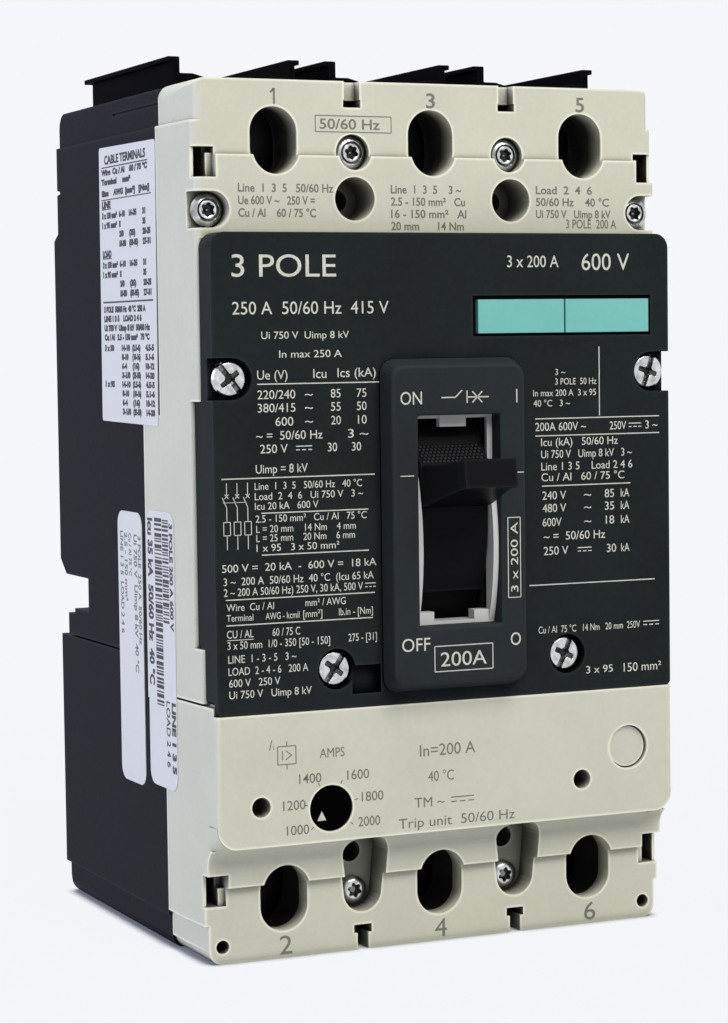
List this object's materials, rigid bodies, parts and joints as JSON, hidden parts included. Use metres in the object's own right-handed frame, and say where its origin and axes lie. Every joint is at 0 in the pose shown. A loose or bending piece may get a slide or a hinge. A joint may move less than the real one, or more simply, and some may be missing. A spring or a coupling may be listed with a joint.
{
  "type": "molded case circuit breaker",
  "caption": "Molded case circuit breaker with a toggle handle, line and load cable terminals, terminal shields and an adjustable trip unit.",
  "frame": {"origin": "middle of the footprint on the plane that the load end stands on, with the toggle in the tripped position", "axes": "+Z from the load end up to the line end, +Y from the toggle to the mounting face at the back, +X to the right as seen from the front"},
  "size_m": [0.1045, 0.1122, 0.1813],
  "materials": {
    "base_plastic": "fine satin, dark blue grey",
    "light_plastic": "fine satin, warm light grey",
    "cover_plastic": "satin, near black",
    "guide_plastic": "smooth light grey",
    "handle_plastic": "satin black",
    "strip_plastic": "satin blue green",
    "dial_plastic": "black",
    "zinc_steel": "bright zinc plate",
    "lug_metal": "tinned aluminium",
    "clamp_steel": "dull zinc plate",
    "shield_plastic": "satin black",
    "label_paper": "smooth white label film"
  },
  "bodies": {
    "breaker": {"base_housing": "base_plastic", "trip_unit_base": "base_plastic", "line_cover": "light_plastic", "trip_unit_cover": "light_plastic", "front_cover": "cover_plastic", "toggle_bezel": "cover_plastic", "toggle_frame": "guide_plastic", "accessory_strip_left": "strip_plastic", "accessory_strip_right": "strip_plastic", "blanking_plug": "light_plastic", "line_screw_left": "zinc_steel", "line_screw_right": "zinc_steel", "side_screw_left": "zinc_steel", "side_screw_right": "zinc_steel", "cover_screw_upper_left": "zinc_steel", "cover_screw_upper_right": "zinc_steel", "cover_screw_lower_left": "zinc_steel", "cover_screw_lower_right": "zinc_steel", "load_screw_left": "zinc_steel", "load_screw_right": "zinc_steel", "line_lug_1": "lug_metal", "line_lug_3": "lug_metal", "line_lug_5": "lug_metal", "load_lug_2": "lug_metal", "load_lug_4": "lug_metal", "load_lug_6": "lug_metal", "line_clamp_screws": "clamp_steel", "load_clamp_screws": "clamp_steel", "terminal_shield_1": "shield_plastic", "terminal_shield_3": "shield_plastic", "terminal_shield_5": "shield_plastic", "rating_label": "label_paper", "address_label": "label_paper", "barcode_label": "label_paper"},
    "toggle": {"toggle_handle": "handle_plastic"},
    "dial": {"adjust_dial": "dial_plastic"}
  },
  "joints": [
    {"name": "toggle_hinge", "type": "hinge", "parent": "breaker", "child": "toggle", "pos_m": [0, 0.0021, 0.088], "axis": [-1, 0, 0], "range_deg": [-25, 9.5]},
    {"name": "dial_turn", "type": "hinge", "parent": "breaker", "child": "dial", "pos_m": [-0.0271, -0.0353, 0.0308], "axis": [0, -1, 0], "range_deg": [-270, 0]}
  ]
}
